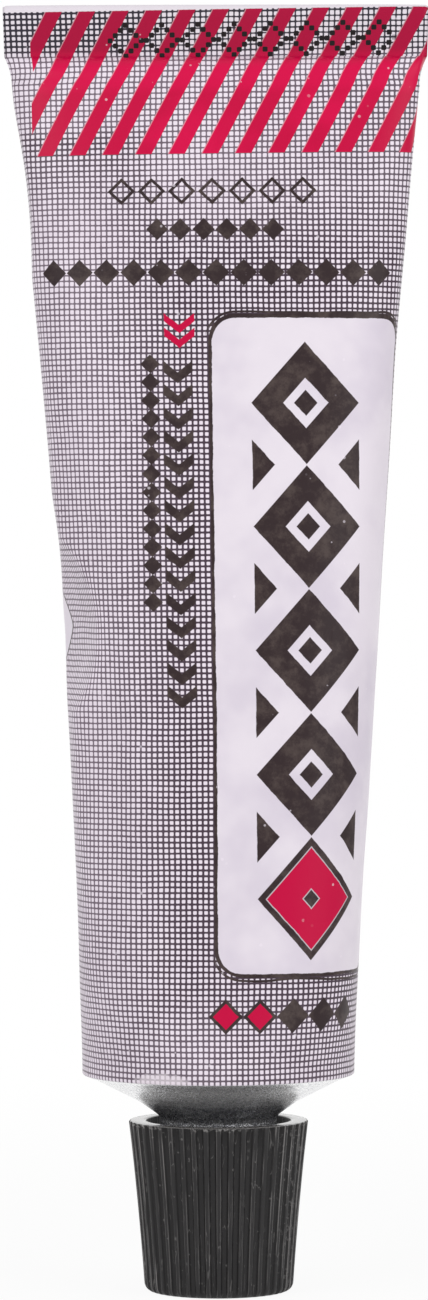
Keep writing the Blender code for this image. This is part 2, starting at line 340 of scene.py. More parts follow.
def finished(bm, name):
    """Closes what is open, turns the faces outwards and makes the mesh a piece of the scene."""
    bmesh.ops.holes_fill(bm, edges=[edge for edge in bm.edges if edge.is_boundary], sides=0)
    bmesh.ops.recalc_face_normals(bm, faces=bm.faces)
    for face in bm.faces:
        face.smooth = True
    mesh = bpy.data.meshes.new(name)
    bm.to_mesh(mesh)
    bm.free()
    return added(name, mesh)


def neck_and_shoulder():
    """(radius, height) pairs from the membrane, round the mouth and up to the body's foot."""
    profile = [
        (0.0, MOUTH_Z + MEMBRANE_RISE),
        (2.0 * MM, MOUTH_Z + MEMBRANE_RISE),
        (MEMBRANE_RADIUS, MOUTH_Z + MEMBRANE_RISE - 0.05 * MM),
        (MOUTH_BORE_RADIUS, MOUTH_Z),
        (THREAD_ROOT_RADIUS - NECK_CHAMFER, MOUTH_Z),
        (THREAD_ROOT_RADIUS, MOUTH_Z + NECK_CHAMFER),
        (THREAD_ROOT_RADIUS, MOUTH_Z + THREAD_LENGTH),
        (NECK_RADIUS, MOUTH_Z + THREAD_LENGTH + 0.5 * MM),
    ]
    slope = math.atan2(SHOULDER_BREAK_HEIGHT, SHOULDER_BREAK_RADIUS - NECK_RADIUS)
    rise = NECK_FILLET * (math.tan(slope) - 1 / math.cos(slope))
    for i in range(6):
        turn = (math.pi / 2 - slope) * i / 5
        radius = NECK_RADIUS + NECK_FILLET * (1 - math.cos(turn))
        profile.append((radius, NECK_FOOT_Z + rise + NECK_FILLET * math.sin(turn)))
    profile.append((SHOULDER_BREAK_RADIUS, NECK_FOOT_Z + SHOULDER_BREAK_HEIGHT))
    slope = math.atan2(SHOULDER_HEIGHT - SHOULDER_BREAK_HEIGHT, TUBE_RADIUS - SHOULDER_BREAK_RADIUS)
    for i in range(1, 6):
        radius = mix(SHOULDER_BREAK_RADIUS, TUBE_RADIUS - SHOULDER_EDGE, i / 6)
        rise = (radius - SHOULDER_BREAK_RADIUS) * math.tan(slope)
        profile.append((radius, NECK_FOOT_Z + SHOULDER_BREAK_HEIGHT + rise))
    for i in range(6):
        turn = mix(slope, math.pi / 2, i / 5)
        radius = TUBE_RADIUS - SHOULDER_EDGE * (1 - math.sin(turn))
        profile.append((radius, BODY_FOOT_Z - SHOULDER_EDGE * math.cos(turn)))
    return profile


def make_tube():
    bm = bmesh.new()
    sheet = [(TUBE_RADIUS, BODY_FOOT_Z + rise) for rise in ring_rises()]
    spun(bm, neck_and_shoulder() + sheet, ROUND_STEPS)
    print_map = bm.loops.layers.uv.new("sheet")
    for face in bm.faces:
        middle = face.calc_center_median()
        face.material_index = 0 if middle.z > BODY_FOOT_Z - SHOULDER_EDGE * PRINTED_EDGE_SHARE else 1
        towards = math.atan2(middle.x, -middle.y)
        for loop in face.loops:
            place = loop.vert.co
            turn = math.atan2(place.x, -place.y)
            turn += 2 * math.pi * round((towards - turn) / (2 * math.pi))
            loop[print_map].uv = (turn * TUBE_RADIUS, place.z - BODY_FOOT_Z)
    for vert in bm.verts:
        rise = vert.co.z - BODY_FOOT_Z
        if rise > 1e-6:
            vert.co = sheet_place(math.atan2(vert.co.x, -vert.co.y), rise)
    return finished(bm, "tube_skin")


tube = make_tube()


# The print: pale enamel all over, a fine dark net, red slanting stripes under the fold and a
# rounded pale panel with a black line round it. Its inks lie in the flat sheet's millimetres,
# across from the front's middle and up from the body's foot.
def place(tree, kind, **settings):
    made = tree.nodes.new(kind)
    for name, value in settings.items():
        setattr(made, name, value)
    return made


def new_material(name):
    """A material, its tree and shader, and the place on the object in metres."""
    made = bpy.data.materials.new(name)
    made.use_nodes = True
    tree = made.node_tree
    solid = place(tree, "ShaderNodeTexCoord").outputs["Object"]
    return made, tree, tree.nodes["Principled BSDF"], solid


def feed(tree, socket, value):
    """Links a socket to another, or sets it to a number or colour."""
    if isinstance(value, bpy.types.NodeSocket):
        tree.links.new(value, socket)
    else:
        socket.default_value = value


def fill(tree, node, sockets):
    for label, value in sockets.items():
        feed(tree, node.inputs[label], value)


def calc(tree, operation, *values):
    made = place(tree, "ShaderNodeMath", operation=operation)
    for socket, value in zip(made.inputs, values):
        feed(tree, socket, value)
    return made.outputs[0]


def plus(tree, first, second):
    return calc(tree, "ADD", first, second)


def minus(tree, first, second):
    return calc(tree, "SUBTRACT", first, second)


def times(tree, first, second):
    return calc(tree, "MULTIPLY", first, second)


def absolute(tree, value):
    return calc(tree, "ABSOLUTE", value)


def root_of_squares(tree, first, second):
    return calc(tree, "SQRT", plus(tree, times(tree, first, first), times(tree, second, second)))


def step_down(tree, value, edge, soft):
    """1 below an edge, 0 above it, with a soft change of this width."""
    made = place(tree, "ShaderNodeMapRange", interpolation_type="SMOOTHSTEP")
    start, end = minus(tree, edge, soft / 2), plus(tree, edge, soft / 2)
    fill(tree, made, {"Value": value, "From Min": start, "From Max": end, "To Min": 1.0, "To Max": 0.0})
    return made.outputs[0]


def both(tree, *masks):
    made = masks[0]
    for mask in masks[1:]:
        made = times(tree, made, mask)
    return made


def either(tree, *masks):
    made = masks[0]
    for mask in masks[1:]:
        made = calc(tree, "MAXIMUM", made, mask)
    return made


def invert(tree, mask):
    return minus(tree, 1.0, mask)


def step_up(tree, value, edge, soft):
    return invert(tree, step_down(tree, value, edge, soft))


def between(tree, value, low, high, soft):
    return both(tree, step_up(tree, value, low, soft), step_down(tree, value, high, soft))


def paint(tree, under, over, mask):
    made = place(tree, "ShaderNodeMix", data_type="RGBA")
    fill(tree, made, {"Factor": mask, "A": under, "B": over})
    return made.outputs["Result"]


def layered(tree, under, *layers):
    """Paints (colour, mask) layers one over another."""
    for colour, mask in layers:
        under = paint(tree, under, colour, mask)
    return under


def from_screen(red, green, blue):
    """A colour as a screen shows it, 0 to 255, in the shader's linear values."""
    linear = []
    for level in (red, green, blue):
        share = level / 255
        linear.append(share / 12.92 if share <= 0.04045 else ((share + 0.055) / 1.055) ** 2.4)
    return (*linear, 1.0)


def cloud(tree, where, scale, detail=2.0, roughness=0.5):
    made = place(tree, "ShaderNodeTexNoise")
    fill(tree, made, {"Vector": where, "Scale": scale, "Detail": detail, "Roughness": roughness})
    return made.outputs["Fac"]


def around_half(tree, value, reach):
    """A noise value's swing round its middle, times a reach."""
    return times(tree, minus(tree, value, 0.5), reach)


def swing(tree, reach, where, scale, detail=2.0, roughness=0.5):
    return around_half(tree, cloud(tree, where, scale, detail, roughness), reach)


def split(tree, vector):
    made = place(tree, "ShaderNodeSeparateXYZ")
    tree.links.new(vector, made.inputs[0])
    return made.outputs


def finish(tree, shader, colour, roughness):
    fill(tree, shader, {"Base Color": colour, "Roughness": roughness})


def bumped(tree, shader, height, strength, depth):
    made = place(tree, "ShaderNodeBump")
    fill(tree, made, {"Strength": strength, "Distance": depth, "Height": height})
    tree.links.new(made.outputs[0], shader.inputs["Normal"])


def make_wear_group():
    """Small specks and fine broken scratches, as masks, for every finish that handling marks."""
    tree = bpy.data.node_groups.new("handling_wear", "ShaderNodeTree")
    tree.interface.new_socket("Place", in_out="INPUT", socket_type="NodeSocketVector")
    for label in ("Speck Scale", "Speck Share", "Scratch Scale", "Scratch Share"):
        tree.interface.new_socket(label, in_out="INPUT", socket_type="NodeSocketFloat")
    for label in ("Specks", "Scratches"):
        tree.interface.new_socket(label, in_out="OUTPUT", socket_type="NodeSocketFloat")
    given = place(tree, "NodeGroupInput").outputs
    shown = place(tree, "NodeGroupOutput").inputs
    cells = place(tree, "ShaderNodeTexVoronoi")
    fill(tree, cells, {"Vector": given["Place"], "Scale": given["Speck Scale"]})
    chance = split(tree, cells.outputs["Color"])
    spot = step_down(tree, cells.outputs["Distance"], times(tree, chance[1], 0.40), 0.15)
    chosen = step_down(tree, chance[0], given["Speck Share"], 0.02)
    tree.links.new(both(tree, spot, chosen), shown["Specks"])
    turned = place(tree, "ShaderNodeMapping")
    lean, stretch = (0.25, -0.35, 0.0), (1.0, 1.0, 0.09)
    fill(tree, turned, {"Vector": given["Place"], "Rotation": lean, "Scale": stretch})
    hair = absolute(tree, swing(tree, 1.0, turned.outputs[0], given["Scratch Scale"], 1.0))
    patch = cloud(tree, given["Place"], times(tree, given["Scratch Scale"], 0.8), 1.0)
    worn = step_up(tree, patch, minus(tree, 0.75, times(tree, given["Scratch Share"], 0.5)), 0.05)
    tree.links.new(both(tree, step_down(tree, hair, 0.006, 0.010), worn), shown["Scratches"])
    return tree


handling_wear = make_wear_group()


def worn_by(tree, where, speck_scale, speck_share, scratch_scale, scratch_share):
    made = place(tree, "ShaderNodeGroup", node_tree=handling_wear)
    values = (where, speck_scale, speck_share, scratch_scale, scratch_share)
    for socket, value in zip(made.inputs, values):
        feed(tree, socket, value)
    return made.outputs["Specks"], made.outputs["Scratches"]


EDGE_SOFT = 0.06


def rounded_box(tree, x, y, middle, half, corner):
    """Distance outside a rounded rectangle, negative inside it."""
    off_x = minus(tree, absolute(tree, minus(tree, x, middle[0])), half[0] - corner)
    off_y = minus(tree, absolute(tree, minus(tree, y, middle[1])), half[1] - corner)
    outside = root_of_squares(tree, calc(tree, "MAXIMUM", off_x, 0.0), calc(tree, "MAXIMUM", off_y, 0.0))
    inside = calc(tree, "MINIMUM", calc(tree, "MAXIMUM", off_x, off_y), 0.0)
    return minus(tree, plus(tree, outside, inside), corner)


def row_cells(tree, along, first, pitch, count):
    """The offset from the middle of each of a row's cells, and a mask that covers the row."""
    steps = times(tree, minus(tree, along, first), 1 / pitch)
    return around_half(tree, calc(tree, "FRACT", steps), pitch), between(tree, steps, 0.0, count, 0.01)


def diamond_row(tree, along, across, first, pitch, count, half, hole=0.0):
    """Diamonds in a row, solid or with a hole of this half-width."""
    offset, row = row_cells(tree, along, first, pitch, count)
    off = plus(tree, absolute(tree, offset), absolute(tree, across))
    made = both(tree, step_down(tree, off, half, EDGE_SOFT * 1.4), row)
    return both(tree, made, step_up(tree, off, hole, EDGE_SOFT * 1.4)) if hole else made


def chevron_row(tree, along, across, first, pitch, count, half, slope, thick):
    """V marks in a row, whose points look towards the row's start."""
    side = absolute(tree, across)
    bent = minus(tree, along, times(tree, side, slope))
    offset, row = row_cells(tree, bent, first, pitch, count)
    stroke = step_down(tree, absolute(tree, offset), thick / 2, EDGE_SOFT * 1.4)
    return both(tree, stroke, step_down(tree, side, half, EDGE_SOFT), row)


PALE_ENAMEL = from_screen(240, 231, 241)
SHADED_ENAMEL = from_screen(226, 214, 227)
NET_INK = from_screen(70, 56, 68)
LIT_INK = from_screen(115, 102, 114)
SHADED_FOLD_INK = from_screen(48, 44, 54)
RED_INK = from_screen(196, 0, 63)
PAINTED_GLARE_RED = from_screen(214, 4, 73)
SHADED_FOLD_RED = from_screen(167, 8, 57)
BLACK_INK = from_screen(50, 38, 40)
STAMP_INK = from_screen(26, 20, 22)
RUBBED_INK = from_screen(92, 80, 76)
PANEL_ENAMEL = from_screen(231, 223, 232)
PANEL_SHADE = from_screen(215, 206, 219)
SHADED_FOLD_ENAMEL = from_screen(224, 217, 225)
SCRAPED_ENAMEL = from_screen(232, 222, 230)
BARE_EDGE = from_screen(240, 240, 242)
# Levels, places and sizes in the print are in the flat sheet's millimetres.
FOLD_LEVEL = BODY_HEIGHT / MM
FOLD_SPREAD = 0.012
CLOSING_FADE = CLOSING_HEIGHT / MM
CLOSING_LEVEL = FOLD_LEVEL - CLOSING_FADE / 2
ROW_TILT = 0.011
ROW_TILT_LEVEL = 81.0
DRIFT_LEVEL = 42.5
DRIFT_FADE = 65.0
DRIFT = 0.54
DRIFT_SHIFT = 0.12
LEFT_FLANK = (-28.0, -7.3)
FOOT_LEVEL = 6.0
MARKS_LEVEL = 77.5
NET_PITCH = 0.508
NET_LINE = 0.36
NET_THINNING = 0.09
NET_WAVER = 0.16
NET_SOFT = 0.12
NET_SQUARENESS = 5.0
STRIPE_PITCH = 3.03
STRIPE_SHARE = 0.53
STRIPE_LEAN = math.tan(math.radians(27.9))
STRIPE_SHIFT = 1.29
STRIPE_LEVEL = 90.0
HAIRLINE = (0.02, 0.05)
STRIPE_FOOT = 84.05
STRIPE_START = -16.9
STRIPE_GAP = 3.0
GLARE_BAND = (90.0, 92.6)
PRINT_TOP = 97.43
PRINT_FOOT = -0.15
PANEL_MIDDLE = (8.65, 39.36)
PANEL_HALF = (9.1, 29.61)
PANEL_CORNER = 2.2
PANEL_LINE = 0.30
PANEL_END = 28.4
SECOND_LINE = (0.46, 0.68)
BACK_MIDDLE = QUARTER_GIRTH / MM * 2
BACK_PANEL_HALF = (16.5, 36.0)
BACK_PANEL_LEVEL = 42.0
BACK_PANEL_CORNER = 3.0
BACK_POINT_LEVEL = 41.1
BACK_POINT_ACROSS = -19.05
BACK_POINT_SLOPE = 0.72
BACK_POINT_ROUND = math.sqrt(0.12)
BACK_LINE = 0.26
SCRAPE_ACROSS = -5.4
SCRAPE_HALF = (2.6, 0.85)
MOTIF_MIDDLE = 8.0
MOTIF_SLIMNESS = 1.13
MOTIF_FOOT = 10.85
MOTIF_PITCH = 11.2
MOTIF_HALF = 5.55
MOTIF_HOLE = 2.3
MOTIF_POINT = 2.3
MOTIF_EYE = 1.2
RED_RIM_INSET = 0.82
RED_INSET = 0.96
# Rows of marks: level or middle, then first place, pitch, count, half-width, and for chevrons the
# slope and thickness, for diamonds the hole.
RED_CHEVRONS = (-3.36, 65.97, 1.33, 2, 1.38, 0.8, 0.75)
CHEVRONS = (-3.55, 33.1, 2.1, 15, 1.32, 0.8, 1.0)
SMALL_COLUMN = (-6.05, 42.4, 1.66, 14, 0.88)
SMALL_ROWS = (
    (73.15, -16.2, 2.5, 13, 1.22),
    (77.1, -6.3, 2.1, 6, 1.02),
    (80.6, -9.9, 2.75, 7, 1.25, 0.86),
)
FOOT_ROW_LEVEL = 5.95
FOOT_ROW = (-1.3, 3.1)
DOT_PITCH = 0.47
DOT_LEVEL = 94.7
DOT_START = -9.6
DOT_PERIOD = 7
DOT_RINGS = 3.0
DOT_COLUMNS = 55


def dotted_diamonds(tree, across, up):
    """A row of diamonds stamped in round dots, seven dots high."""
    column = times(tree, minus(tree, across, DOT_START), 1 / DOT_PITCH)
    row = times(tree, minus(tree, up, DOT_LEVEL), 1 / DOT_PITCH)
    near_column, near_row = calc(tree, "ROUND", column), calc(tree, "ROUND", row)
    off_x, off_y = minus(tree, column, near_column), minus(tree, row, near_row)
    off = plus(tree, times(tree, off_x, off_x), times(tree, off_y, off_y))
    step = minus(tree, calc(tree, "MODULO", near_column, DOT_PERIOD), DOT_RINGS)
    ring = plus(tree, absolute(tree, step), absolute(tree, near_row))
    in_row = between(tree, near_column, -0.5, DOT_COLUMNS, 0.01)
    return both(tree, step_down(tree, off, 0.36, 0.14), calc(tree, "COMPARE", ring, DOT_RINGS, 0.5), in_row)


def make_print():
    made, tree, shader, solid = new_material("printed_enamel")
    flat = split(tree, place(tree, "ShaderNodeUVMap", uv_map="sheet").outputs["UV"])
    foot_up = times(tree, flat["Y"], 1 / MM)
    spread = times(tree, step_up(tree, foot_up, CLOSING_LEVEL, CLOSING_FADE), FOLD_SPREAD)
    across = times(tree, times(tree, flat["X"], 1 / MM), invert(tree, spread))
    specks, scratches = worn_by(tree, solid, 2600.0, 0.015, 420.0, 0.35)

    # The print lies slightly askew: its rows rise along the stripes, its columns drift below them.
    tilt = times(tree, step_up(tree, foot_up, ROW_TILT_LEVEL, 10.0), ROW_TILT)
    up = minus(tree, foot_up, times(tree, tilt, across))
    drift = minus(tree, times(tree, step_down(tree, up, DRIFT_LEVEL, DRIFT_FADE), DRIFT), DRIFT_SHIFT)
    drifted = minus(tree, across, drift)

    # The net's lines are thin on the left flank, at the foot and over the marks near the fold, and there its
    # ink is painted lighter as a painted sheen. They are thicker beside the panel, and thicker on the fold's
    # left part as painted shade, and they swell, thin and waver a little everywhere.
    # Painted shade: the fold is painted darker than the body, with greyer enamel, darker net ink and darker
    # red.
    fold_shade = step_up(tree, foot_up, FOLD_LEVEL + 0.25, 1.6)
    seam_side = step_down(tree, across, LEFT_FLANK[0], 8.0)
    left = both(tree, step_down(tree, across, LEFT_FLANK[1], 11.0), invert(tree, seam_side))
    high = step_up(tree, up, MARKS_LEVEL, 8.0)
    right = either(tree, step_up(tree, across, 6.0, 20.0), seam_side)
    right = both(tree, right, step_down(tree, up, 91.0, 3.0))
    foot_part = step_down(tree, up, FOOT_LEVEL, 7.0)
    under_fold = both(tree, step_up(tree, up, 85.9, 2.6), invert(tree, fold_shade))
    thin_lines_and_sheen = either(
        tree,
        both(tree, left, step_down(tree, up, 83.0, 11.0)),
        both(tree, high, either(tree, under_fold, invert(tree, left)), invert(tree, times(tree, right, 0.5))),
        both(tree, foot_part, either(tree, both(tree, step_down(tree, across, 2.0, 8.0), 0.75), 0.35)),
    )
    line = minus(tree, NET_LINE, times(tree, thin_lines_and_sheen, NET_THINNING))
    line = plus(tree, line, swing(tree, 0.16, solid, 90.0, 3.0))
    line = plus(tree, line, swing(tree, 0.20, solid, 1100.0))
    line = plus(tree, line, both(tree, fold_shade, left, 0.03))
    waver = swing(tree, NET_WAVER, solid, 260.0)
    powers = []
    for value in (drifted, up):
        cell = calc(tree, "FRACT", times(tree, plus(tree, value, waver), 1 / NET_PITCH))
        off = calc(tree, "MINIMUM", cell, invert(tree, cell))
        powers.append(calc(tree, "POWER", off, NET_SQUARENESS))
    from_cell = calc(tree, "POWER", plus(tree, *powers), 1 / NET_SQUARENESS)
    cell_half = minus(tree, 0.5, times(tree, line, 0.5))
    net = step_up(tree, from_cell, cell_half, NET_SOFT)

    # Red stripes, with a thin pale rim along their left edge where the two inks don't meet.
    slid = minus(tree, across, times(tree, minus(tree, up, STRIPE_LEVEL), STRIPE_LEAN))
    phase = calc(tree, "FRACT", times(tree, plus(tree, slid, STRIPE_SHIFT), 1 / STRIPE_PITCH))
    height_band = between(tree, up, STRIPE_FOOT, PRINT_TOP, EDGE_SOFT)
    gap = between(tree, across, STRIPE_START - STRIPE_GAP, STRIPE_START, EDGE_SOFT)
    stripe_zone = both(tree, height_band, invert(tree, gap))
    stripes = both(tree, between(tree, phase, HAIRLINE[0], STRIPE_SHARE, 0.02), stripe_zone)
    hairline = both(tree, between(tree, phase, *HAIRLINE, 0.02), stripe_zone)
    # Painted highlight: the red is brighter in patches and in a band just under the fold. On the fold it is
    # darker, painted shade.
    glare_patches = step_up(tree, cloud(tree, solid, 150.0), 0.62, 0.2)
    glare = either(tree, between(tree, foot_up, *GLARE_BAND, 1.4), glare_patches)
    red = layered(tree, RED_INK, (PAINTED_GLARE_RED, times(tree, glare, 0.8)), (SHADED_FOLD_RED, fold_shade))

    # The panel and its uneven line, which runs thick and double at the top and foot.
    box = rounded_box(tree, drifted, up, PANEL_MIDDLE, PANEL_HALF, PANEL_CORNER)
    ragged = plus(tree, box, swing(tree, 0.34, solid, 420.0, 4.0, 0.65))
    panel = step_down(tree, ragged, 0.0, EDGE_SOFT)
    height = minus(tree, up, PANEL_MIDDLE[1])
    ends = step_up(tree, absolute(tree, height), PANEL_END, 1.6)
    thick = plus(tree, PANEL_LINE, swing(tree, 0.16, solid, 110.0))
    top_end = step_up(tree, height, PANEL_END + 0.2, 1.4)
    thick = plus(tree, thick, times(tree, top_end, 0.14))
    wavy = plus(tree, box, swing(tree, 0.16, solid, 300.0, 3.0, 0.6))
    outline = both(tree, step_down(tree, wavy, thick, EDGE_SOFT), invert(tree, panel))
    shifted = plus(tree, box, swing(tree, 1.0, solid, 130.0))
    outline = either(tree, outline, both(tree, between(tree, shifted, *SECOND_LINE, EDGE_SOFT), ends))

    # In the panel a column of diamonds between pairs of points, the lowest diamond red inside its
    # black line. The inks' edges are a little uneven.
    spill = swing(tree, 0.14, solid, 900.0, 3.0, 0.6)
    spill_up = plus(tree, up, spill)
    spill_across = plus(tree, drifted, spill)
    off_middle = times(tree, minus(tree, spill_across, MOTIF_MIDDLE), MOTIF_SLIMNESS)
    column = (tree, spill_up, off_middle, MOTIF_FOOT, MOTIF_PITCH)
    off_side = minus(tree, absolute(tree, off_middle), MOTIF_HALF)
    points = diamond_row(tree, spill_up, off_side, MOTIF_FOOT + MOTIF_PITCH / 2, MOTIF_PITCH, 4, MOTIF_POINT)
    shapes = either(
        tree,
        diamond_row(*column, 5, MOTIF_HALF, MOTIF_HOLE),
        diamond_row(*column, 5, MOTIF_EYE),
        both(tree, points, step_down(tree, off_side, 0.0, EDGE_SOFT)),
    )
    red_rim = diamond_row(*column, 1, MOTIF_HALF - RED_RIM_INSET, RED_RIM_INSET)
    red_shape = diamond_row(*column, 1, MOTIF_HALF - RED_INSET, RED_INSET)

    # Beside the panel a red double chevron, and rows of small plain marks.
    red_chevrons = chevron_row(tree, spill_up, minus(tree, spill_across, RED_CHEVRONS[0]), *RED_CHEVRONS[1:])
    marks = [
        chevron_row(tree, spill_up, minus(tree, spill_across, CHEVRONS[0]), *CHEVRONS[1:]),
        diamond_row(tree, spill_up, minus(tree, spill_across, SMALL_COLUMN[0]), *SMALL_COLUMN[1:]),
    ]
    for level, *row in SMALL_ROWS:
        marks.append(diamond_row(tree, spill_across, minus(tree, spill_up, level), *row))
    foot_row = minus(tree, spill_up, FOOT_ROW_LEVEL)
    marks.append(diamond_row(tree, spill_across, foot_row, *FOOT_ROW, 5, 1.56))
    marks = either(tree, *marks)
    red_marks = diamond_row(tree, spill_across, foot_row, *FOOT_ROW, 2, 1.16)
    stamped = dotted_diamonds(tree, across, up)

    # The back has a pale panel with a thin line, and one blunt point of it reaches the left side.
    behind = minus(tree, BACK_MIDDLE, absolute(tree, across))
    back = rounded_box(tree, behind, up, (0.0, BACK_PANEL_LEVEL), BACK_PANEL_HALF, BACK_PANEL_CORNER)
    off_point = root_of_squares(tree, minus(tree, up, BACK_POINT_LEVEL), BACK_POINT_ROUND)
    point = plus(tree, minus(tree, across, BACK_POINT_ACROSS), times(tree, off_point, BACK_POINT_SLOPE))
    back = calc(tree, "MINIMUM", back, point)
    back_line = step_down(tree, back, BACK_LINE, EDGE_SOFT)
    back_panel = step_down(tree, back, 0.0, EDGE_SOFT)

    # Where the print stops at the foot, with one scraped place.
    scrape_u = times(tree, minus(tree, across, SCRAPE_ACROSS), 1 / SCRAPE_HALF[0])
    scrape_v = times(tree, foot_up, 1 / SCRAPE_HALF[1])
    scrape = plus(tree, times(tree, scrape_u, scrape_u), times(tree, scrape_v, scrape_v))
    scrape = plus(tree, scrape, swing(tree, 1.6, solid, 1300.0, 3.0))
    scraped = times(tree, step_down(tree, scrape, 0.9, 0.9), 0.62)
    foot = step_down(tree, foot_up, PRINT_FOOT, EDGE_SOFT)

    patches = cloud(tree, solid, 120.0, 3.0, 0.55)
    rubbed = times(tree, step_up(tree, cloud(tree, solid, 520.0, 5.0, 0.7), 0.56, 0.30), 0.6)
    # The enamel is painted greyer on the fold, painted shade.
    enamel = layered(tree, PALE_ENAMEL, (SHADED_ENAMEL, patches), (SHADED_FOLD_ENAMEL, fold_shade))
    black = paint(tree, BLACK_INK, RUBBED_INK, rubbed)
    # The net's ink is painted lighter where its lines thin, a painted sheen, and darker on the fold, painted
    # shade.
    net_ink = layered(tree, NET_INK, (LIT_INK, thin_lines_and_sheen), (SHADED_FOLD_INK, fold_shade))
    field = paint(tree, PANEL_ENAMEL, PANEL_SHADE, step_up(tree, patches, 0.52, 0.34))
    colour = layered(
        tree,
        enamel,
        (net_ink, net),
        (red, stripes),
        (enamel, times(tree, hairline, 0.35)),
        (black, either(tree, outline, marks, back_line)),
        (STAMP_INK, stamped),
        (field, either(tree, panel, back_panel)),
        (black, shapes),
        (PALE_ENAMEL, times(tree, red_rim, 0.6)),
        (RED_INK, either(tree, red_shape, red_chevrons, red_marks)),
        # the unprinted margin on the fold, in the fold's painted-shade enamel
        (SHADED_FOLD_ENAMEL, step_up(tree, up, PRINT_TOP, EDGE_SOFT)),
        (SCRAPED_ENAMEL, scraped),
        (BARE_EDGE, foot),
        (PALE_ENAMEL, times(tree, specks, 0.45)),
    )
    finish(tree, shader, colour, plus(tree, 0.36, times(tree, scratches, 0.2)))
    shader.inputs["Specular IOR Level"].default_value = 0.15
    bumped(tree, shader, cloud(tree, solid, 1500.0, 2.0), 0.10, 0.1 * MM)
    return made


# Bare aluminium: satin, a little mottled, and bright enough to mirror the dark cap softly in the
# shoulder's middle.
def make_bare_metal():
    made, tree, shader, solid = new_material("bare_aluminium")
    white = from_screen(255, 255, 255)
    where = split(tree, solid)
    reach = root_of_squares(tree, where["X"], where["Y"])
    outer = step_up(tree, reach, SHOULDER_BREAK_RADIUS, 0.2 * MM)
    mottle = step_up(tree, cloud(tree, solid, 1300.0, 4.0, 0.75), 0.5, 0.4)
    grain = cloud(tree, solid, 3000.0, 2.0, 0.6)
    pits = step_up(tree, cloud(tree, solid, 4200.0, 3.0, 0.7), 0.55, 0.14)
    dull_spots = step_up(tree, cloud(tree, solid, 3600.0, 3.0, 0.7), 0.58, 0.10)
    specks, scratches = worn_by(tree, solid, 3200.0, 0.16, 900.0, 0.5)
    tone = layered(
        tree,
        from_screen(164, 164, 172),
        (white, mottle),
        (from_screen(120, 120, 128), times(tree, specks, 0.6)),
        (white, times(tree, scratches, 0.35)),
        (white, times(tree, outer, 0.9)),
        (from_screen(176, 176, 190), times(tree, pits, 0.5)),
    )
    rough = plus(tree, 0.11, times(tree, grain, 0.12))
    finish(tree, shader, tone, plus(tree, rough, times(tree, dull_spots, 0.14)))
    shader.inputs["Metallic"].default_value = 0.88
    bumped(tree, shader, plus(tree, grain, pits), 0.30, 0.04 * MM)
    return made


tube.data.materials.append(make_print())
tube.data.materials.append(make_bare_metal())
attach(tube, "tube")
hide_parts("tube_shell")

# The neck's thread, rolled in the same aluminium: 1.5 mm pitch and right-handed, running out at
# both ends.
THREAD_PITCH = 1.5 * MM
THREAD_BASE = 0.42 * MM
THREAD_CREST = 0.14 * MM
THREAD_TURN_STEPS = 64
NECK_THREAD_TURNS = 4.5
NECK_THREAD_START = 1.1 * MM
THREAD_SINK = 0.05 * MM
RUN_OUT_TURNS = 0.2


def make_thread(name, root, crest, start_z, turns):
    """A ridge from the root radius to the crest radius, wound right-handed and up."""
    bm = bmesh.new()
    corners = ((root, -THREAD_BASE), (crest, -THREAD_CREST), (crest, THREAD_CREST), (root, THREAD_BASE))
    verts = [bm.verts.new((radius, 0.0, height)) for radius, height in corners]
    edges = [bm.edges.new((verts[i], verts[(i + 1) % 4])) for i in range(4)]
    steps = round(turns * THREAD_TURN_STEPS)
    spin(bm, verts + edges, steps, turns, THREAD_PITCH / THREAD_TURN_STEPS)
    for vert in bm.verts:
        share = math.atan2(vert.co.y, vert.co.x) / (2 * math.pi)
        wound = share + round(vert.co.z / THREAD_PITCH - share)
        fade = min(max(min(wound, turns - wound) / RUN_OUT_TURNS, 0.02), 1.0)
        reach = math.hypot(vert.co.x, vert.co.y)
        scale = (root + (reach - root) * fade) / reach
        vert.co.x *= scale
        vert.co.y *= scale
    bmesh.ops.translate(bm, verts=bm.verts, vec=(0, 0, start_z))
    return finished(bm, name)


neck_thread = make_thread(
    "neck_thread",
    THREAD_ROOT_RADIUS - THREAD_SINK,
    NECK_RADIUS,
    MOUTH_Z + NECK_THREAD_START,
    NECK_THREAD_TURNS,
)
neck_thread.data.materials.append(tube.data.materials[1])
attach(neck_thread, "tube")

# The glue: a thick clear gel that fills the tube and follows its presses.
GLUE_INSET = 0.43 * MM
GLUE_SHOULDER = 1.0 * MM
GLUE_MOUTH = 0.55 * MM
GLUE_CHAMFER = 0.4 * MM
GLUE_RINGS = 90
GLUE_STEPS = 96


def make_glue():
    bm = bmesh.new()
    profile = [
        (0.0, MOUTH_Z + GLUE_MOUTH),
        (MOUTH_BORE_RADIUS - GLUE_CHAMFER, MOUTH_Z + GLUE_MOUTH),
        (MOUTH_BORE_RADIUS, MOUTH_Z + 0.9 * MM),
        (MOUTH_BORE_RADIUS, NECK_FOOT_Z + GLUE_SHOULDER),
        (SHOULDER_BREAK_RADIUS, NECK_FOOT_Z + SHOULDER_BREAK_HEIGHT + GLUE_SHOULDER),
    ]
    for i in range(GLUE_RINGS + 1):
        profile.append((TUBE_RADIUS, BODY_FOOT_Z + mix(GLUE_SHOULDER, OPEN_HEIGHT, i / GLUE_RINGS)))
    spun(bm, profile, GLUE_STEPS)
    for vert in bm.verts:
        rise = vert.co.z - BODY_FOOT_Z
        if math.hypot(vert.co.x, vert.co.y) > TUBE_RADIUS * 0.99:
            vert.co = sheet_place(math.atan2(vert.co.x, -vert.co.y), rise, GLUE_INSET)
    return finished(bm, "glue_gel")


